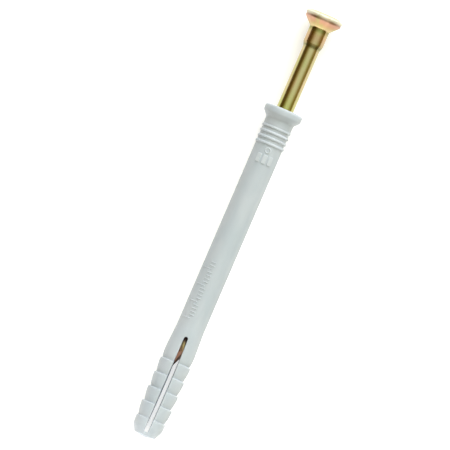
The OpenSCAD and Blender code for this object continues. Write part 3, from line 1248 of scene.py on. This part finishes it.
@dataclass
class Nail:
    """The drive nail: countersunk head with a cross recess, neck, shank and point."""

    axis: PlugAxis
    finish: YellowZinc = field(default_factory=YellowZinc)
    tip: float = 21.015
    head_top: float = 129.1
    shank_d: float = 5.0
    point_len: float = 6.1
    point_off: float = 0.65
    point_turn: float = math.radians(72)
    flat_len: float = 7.1
    neck_d: float = 5.9
    neck_reach: float = 9.0
    neck_step: float = 1.3
    head_d: float = 10.9
    head_rim: float = 1.05
    head_bevel: float = 0.6
    crown_d: float = 8.0
    lip_h: float = 0.28
    shoulder_d: float = 10.5
    shoulder_h: float = 1.0
    cone_angle: float = math.radians(90)
    head_round: float = 0.4
    head_root_round: float = 0.8
    # The roundings at the step's foot and top, the shoulder's foot and top, the rim and the crown
    step_rounds: Pair = (0.8, 0.6)
    shoulder_rounds: Pair = (0.15, 0.05)
    rim_round: float = 0.06
    crown_round: float = 0.3
    recess_span: float = 5.6
    recess_floor: float = 2.6
    recess_depth: float = 3.0
    recess_wing: float = 1.1
    recess_core_d: float = 2.5
    recess_core_floor: float = 1.4
    recess_segments: int = 48
    recess_over: float = 1.0
    thread_low: float = 28.8
    thread_high: float = 88.0
    thread_pitch: float = 1.8
    thread_root_d: float = 4.4
    thread_run_out: float = 0.5
    # Half the ridge's width at its foot and crest, and how far it reaches under and over
    thread_foot: float = 0.42
    thread_crest: float = 0.08
    thread_sunk: float = 0.15
    thread_short: float = 0.01
    thread_fade_depth: float = 0.1
    thread_segments: int = 40
    segments: int = 96

    def corners(self) -> list[Corner]:
        """Lays out the nail, from the point's end to the head's centre.

        Returns:
            The outline's corners.
        """
        shank_r, root_r, neck_r = self.shank_d / 2, self.thread_root_d / 2, self.neck_d / 2
        neck_end = self.head_top - self.neck_reach
        lip = self.head_top - self.head_rim
        cone_top = lip - self.shoulder_h
        cone = (self.shoulder_d - self.neck_d) / 2 / math.tan(self.cone_angle / 2)
        return [
            Corner(0, self.tip),
            Corner(shank_r, self.tip),
            Corner(shank_r, self.thread_low),
            Corner(root_r, self.thread_low + self.thread_run_out),
            Corner(root_r, self.thread_high - self.thread_run_out),
            Corner(shank_r, self.thread_high),
            Corner(shank_r, neck_end - self.neck_step, self.step_rounds[0]),
            Corner(neck_r, neck_end, self.step_rounds[1]),
            Corner(neck_r, cone_top - cone, self.head_root_round),
            Corner(self.shoulder_d / 2, cone_top, self.shoulder_rounds[0]),
            Corner(self.shoulder_d / 2, lip - self.lip_h, self.shoulder_rounds[1]),
            Corner(self.head_d / 2, lip, self.rim_round),
            Corner(self.head_d / 2, self.head_top - self.head_bevel, self.head_round),
            Corner(self.crown_d / 2, self.head_top, self.crown_round),
            Corner(0, self.head_top),
        ]

    def pinch_point(self, obj: bpy.types.Object) -> None:
        """Cuts the point's four facets, which meet beside the axis, and the flat next to them.

        Args:
            obj: The turned nail.
        """
        edit_only(obj)
        apex = Vector((0, self.point_off, self.tip)) * MM
        radius = self.shank_d / 2
        cuts = [(self.point_turn + quarter * math.pi / 2, self.point_len) for quarter in range(4)]
        cuts.append((-math.pi / 2, self.flat_len))
        for angle, length in cuts:
            out = Vector((math.cos(angle), math.sin(angle), 0))
            across = radius - apex.dot(out) / MM
            normal = out * length - Vector((0, 0, across))
            bpy.ops.mesh.select_all(action="SELECT")
            bpy.ops.mesh.bisect(
                plane_co=apex, plane_no=normal.normalized(), use_fill=True, clear_outer=True, threshold=WELD
            )
        close_edit(obj)

    def thread(self) -> bpy.types.Object:
        """Winds the thread's ridge round the shank as a closed solid.

        Returns:
            The ridge, which fades into the shank at both ends.
        """
        crest_r, root_r = self.shank_d / 2 - self.thread_short, self.thread_root_d / 2 - self.thread_sunk
        foot, crest = self.thread_foot, self.thread_crest
        low = self.thread_low + foot
        ridge = [(root_r, -foot), (crest_r, -crest), (crest_r, crest), (root_r, foot)]
        obj = draw_line("thread_ridge", [Vector((r, 0, low + z)) * MM for r, z in ridge])
        bpy.ops.mesh.select_all(action="SELECT")
        bpy.ops.mesh.edge_face_add()
        close_edit(obj)
        turns = int((self.thread_high - self.thread_low - 2 * foot) / self.thread_pitch)
        step = obj.modifiers.new("winding", "SCREW")
        step.axis = "Z"
        step.angle = math.tau
        step.screw_offset = self.thread_pitch * MM
        step.iterations = turns
        step.steps = step.render_steps = self.thread_segments
        step.use_merge_vertices = False
        step.use_smooth_shade = False
        bpy.ops.object.modifier_apply(modifier=step.name)
        close_solid(obj)
        self.fade_ends(obj, low, low + turns * self.thread_pitch)
        return obj

    def fade_ends(self, obj: bpy.types.Object, low: float, high: float) -> None:
        """Sinks the first and last half turn of the ridge into the shank.

        Args:
            obj: The thread's ridge.
            low: The height at which the ridge's middle starts.
            high: The height at which the ridge's middle ends.
        """
        fade = self.thread_pitch / 2
        sunk = self.thread_root_d / 2 - self.thread_fade_depth
        for vertex in obj.data.vertices:
            x, y, z = vertex.co / MM
            turn = math.atan2(y, x) / math.tau % 1.0
            count = round((z - low) / self.thread_pitch - turn)
            middle = low + (count + turn) * self.thread_pitch
            share = min(1.0, max(0.0, min(middle - low, high - middle) / fade))
            radius = math.hypot(x, y)
            if radius > sunk:
                scale = (sunk + (radius - sunk) * share) / radius
                vertex.co.x *= scale
                vertex.co.y *= scale

    def cut_recess(self, obj: bpy.types.Object) -> None:
        """Cuts the cross recess into the top of the head.

        Args:
            obj: The nail.
        """
        over = self.recess_over
        half_span, half_floor = self.recess_span / 2, self.recess_floor / 2
        floor = self.head_top - self.recess_depth
        profile = [
            (-half_floor, floor),
            (half_floor, floor),
            (half_span, self.head_top),
            (half_span, self.head_top + over),
            (-half_span, self.head_top + over),
            (-half_span, self.head_top),
        ]
        wings = slab("recess_wings", profile, self.recess_wing)
        other = slab("recess_wings_across", profile, self.recess_wing)
        other.data.transform(Matrix.Rotation(math.pi / 2, 4, "Z"))
        combine(wings, other, Join.ADD)
        combine(obj, wings, Join.CUT)
        slope = (self.recess_core_d - self.recess_core_floor) / self.recess_depth
        bpy.ops.object.select_all(action="DESELECT")
        bpy.ops.mesh.primitive_cone_add(
            vertices=self.recess_segments,
            radius1=self.recess_core_floor / 2 * MM,
            radius2=(self.recess_core_d + slope * over) / 2 * MM,
            depth=(self.recess_depth + over) * MM,
            location=(0, 0, (floor + self.head_top + over) / 2 * MM),
        )
        combine(obj, bpy.context.object, Join.CUT)

    def build(self) -> bpy.types.Object:
        """Models the nail, dresses it and lays it down.

        Returns:
            The finished nail.
        """
        obj = turn_outline("drive_nail", rounded(self.corners()), self.segments)
        self.pinch_point(obj)
        combine(obj, self.thread(), Join.ADD)
        self.cut_recess(obj)
        self.axis.lay_down(obj)
        dress(obj, self.finish.material(self.axis))
        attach(obj, ROOT_BODY)
        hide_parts("nail")
        return obj


# The studio


@dataclass(frozen=True)
class SoftLight:
    """A soft round light: where it hangs, its size and its power."""

    name: str
    place: Triple
    size: float
    watts: float
    # The height on the plug that it is turned to
    aim: float = 65.0
    mirrored: bool = True

    def hang(self, axis: PlugAxis) -> bpy.types.Object:
        """Hangs the light, turned to a point of the plug.

        Args:
            axis: The plug's axis.

        Returns:
            The light's object.
        """
        data = bpy.data.lights.new(self.name, "AREA")
        data.shape = "DISK"
        data.size = self.size
        data.energy = self.watts
        obj = bpy.data.objects.new(self.name, data)
        bpy.context.scene.collection.objects.link(obj)
        obj.location = axis.at(self.aim) + Vector(self.place)
        obj.rotation_mode = "QUATERNION"
        obj.rotation_quaternion = (-Vector(self.place)).to_track_quat("-Z", "Y")
        obj.visible_camera = False
        obj.visible_glossy = self.mirrored
        return obj


@dataclass(frozen=True)
class Surroundings:
    """The room as the plug sees it: a long soft glow overhead between warm dark walls."""

    # Across the plug, where the glow is brightest; it runs on towards the head
    glow_towards: Triple = (0.0, -0.20, 0.98)
    glow: tuple[tuple[float, Colour], ...] = (
        (0.00, (0.17, 0.11, 0.04)),
        (0.31, (0.13, 0.07, 0.006)),
        (0.52, (0.17, 0.105, 0.015)),
        (0.68, (0.35, 0.27, 0.10)),
        (0.82, (0.60, 0.57, 0.37)),
        (0.92, (0.80, 0.83, 0.62)),
        (0.98, (0.90, 1.01, 0.81)),
    )
    # The pale wall to the right, by the cosine to that side
    side: tuple[tuple[float, Colour], ...] = (
        (0.80, (0.0, 0.0, 0.0)),
        (0.90, (0.13, 0.12, 0.045)),
        (0.97, (0.20, 0.17, 0.06)),
    )
    # The pale wall beyond the tip, by the cosine to that side; it is mirrored and lights nothing
    beyond: tuple[tuple[float, Colour], ...] = (
        (0.80, (0.0, 0.0, 0.0)),
        (0.90, (2.00, 1.94, 1.84)),
    )
    # The pale rim round the floor, by the height over the horizon
    rim: tuple[tuple[float, Colour], ...] = (
        (0.00, (0.80, 0.79, 0.77)),
        (0.04, (0.42, 0.40, 0.37)),
        (0.10, (0.0, 0.0, 0.0)),
    )

    def world(self) -> bpy.types.World:
        """Builds the world.

        Returns:
            The world, lit by its own gradients.
        """
        world = bpy.data.worlds.new("surroundings")
        sheet = NodeSheet(world, "Background")
        where = sheet.coordinates("Generated")
        along, across, up = (sheet.part(where, letter) for letter in "XYZ")
        # The glow runs on towards the head, so only what lies towards the tip counts along it
        folded = sheet.add("CombineXYZ", X=sheet.number("MINIMUM", along, 0.0), Y=across, Z=up)
        unit = sheet.vector("NORMALIZE", folded.outputs["Vector"])
        nearness = sheet.vector("DOT_PRODUCT", unit, Vector(self.glow_towards).normalized())
        right, tipward = sheet.range(across, 0.0, -1.0), sheet.range(along, 0.0, -1.0)
        mirrored = sheet.tree.nodes.new("ShaderNodeLightPath").outputs["Is Glossy Ray"]
        colour = sheet.mix(1.0, sheet.ramp(nearness, self.glow), sheet.ramp(right, self.side), "ADD")
        colour = sheet.mix(mirrored, colour, sheet.ramp(tipward, self.beyond), "ADD")
        colour = sheet.mix(1.0, colour, sheet.ramp(up, self.rim), "ADD")
        sheet.feed(sheet.shader.inputs["Color"], colour)
        return world


@dataclass
class Studio:
    """Floor, lights, surroundings and the camera at the photograph's angle."""

    axis: PlugAxis
    paper: FloorPaper = field(default_factory=FloorPaper)
    floor_size: float = 4.0
    # The photograph: its width in pixels, pixels for a millimetre and the plug's lean
    frame_px: float = 450.0
    px_per_mm: float = 3.557
    lean: float = math.radians(23.35)
    # Pixels of the sleeve's tip on the plug's axis
    tip_px: Pair = (143.8, 436.3)
    distance: float = 2.0
    # How far the camera looks from the tip's side
    tilt: float = math.radians(1.2)
    sensor: float = 36.0
    clip: Pair = (0.01, 20.0)
    surroundings: Surroundings = field(default_factory=Surroundings)
    lights: tuple[SoftLight, ...] = (
        SoftLight("head_window", (0.94, -0.06, 0.56), 0.70, 10.0),
        SoftLight("overhead", (0.10, -0.12, 1.0), 1.0, 1.8, mirrored=False),
        SoftLight("leg_card", (-0.070, 0.006, 0.060), 0.10, 0.026, aim=15.0, mirrored=False),
        SoftLight("tip_card", (-0.118, 0.010, 0.034), 0.06, 0.055, aim=14.0, mirrored=False),
    )

    def lay_floor(self) -> bpy.types.Object:
        """Lays the floor at the height of the plug's lowest point.

        Returns:
            The floor.
        """
        bpy.ops.object.select_all(action="DESELECT")
        bpy.ops.mesh.primitive_grid_add(x_subdivisions=8, y_subdivisions=8, size=self.floor_size)
        floor = bpy.context.object
        floor.name = floor.data.name = "floor"
        edit_only(floor)
        bpy.ops.mesh.select_all(action="SELECT")
        bpy.ops.transform.translate(value=(0, 0, CAD_BOX[0].z))
        close_edit(floor)
        floor.data.materials.append(self.paper.material())
        return floor

    def light(self) -> None:
        """Hangs the lights and sets the surroundings."""
        for lamp in self.lights:
            lamp.hang(self.axis)
        bpy.context.scene.world = self.surroundings.world()

    def set_camera(self) -> bpy.types.Object:
        """Sets the camera so that the plug lies in the frame as in the photograph.

        Returns:
            The camera.
        """
        middle = Vector((self.frame_px / 2, self.frame_px / 2))
        down = Vector((-math.sin(self.lean), math.cos(self.lean)))
        right = Vector((math.cos(self.lean), math.sin(self.lean)))
        from_tip = middle - Vector(self.tip_px)
        height = -from_tip.dot(down) / self.px_per_mm
        aside = from_tip.dot(right) / self.px_per_mm
        along = self.axis.direction()
        across = Vector((0, -1, 0))
        target = self.axis.at(height) + across * aside * MM
        upward = across.cross(along)
        back = (upward * math.cos(self.tilt) - along * math.sin(self.tilt)).normalized()
        head = (along * math.cos(self.tilt) + upward * math.sin(self.tilt)).normalized()
        image_x = across * math.cos(self.lean) + head * math.sin(self.lean)
        image_y = head * math.cos(self.lean) - across * math.sin(self.lean)
        data = bpy.data.cameras.new("camera")
        data.sensor_width = self.sensor
        data.lens = self.sensor * self.distance * self.px_per_mm / (self.frame_px * MM)
        data.clip_start, data.clip_end = self.clip
        camera = bpy.data.objects.new("camera", data)
        bpy.context.scene.collection.objects.link(camera)
        turn = Matrix((image_x, image_y, back)).transposed().to_4x4()
        camera.matrix_world = Matrix.Translation(target + back * self.distance) @ turn
        bpy.context.scene.camera = camera
        return camera

    def build(self) -> None:
        """Sets up the whole studio."""
        self.lay_floor()
        self.light()
        self.set_camera()
        view = bpy.context.scene.view_settings
        view.view_transform = "Standard"
        view.look = "None"


def main() -> None:
    """Builds the plug and its studio, and reports each piece."""
    axis = PlugAxis()
    Studio(axis).build()
    for piece in (Sleeve(axis), Nail(axis)):
        obj = piece.build()
        log.info("%s: %d faces", obj.name, len(obj.data.polygons))


if __name__ == "__main__":
    main()
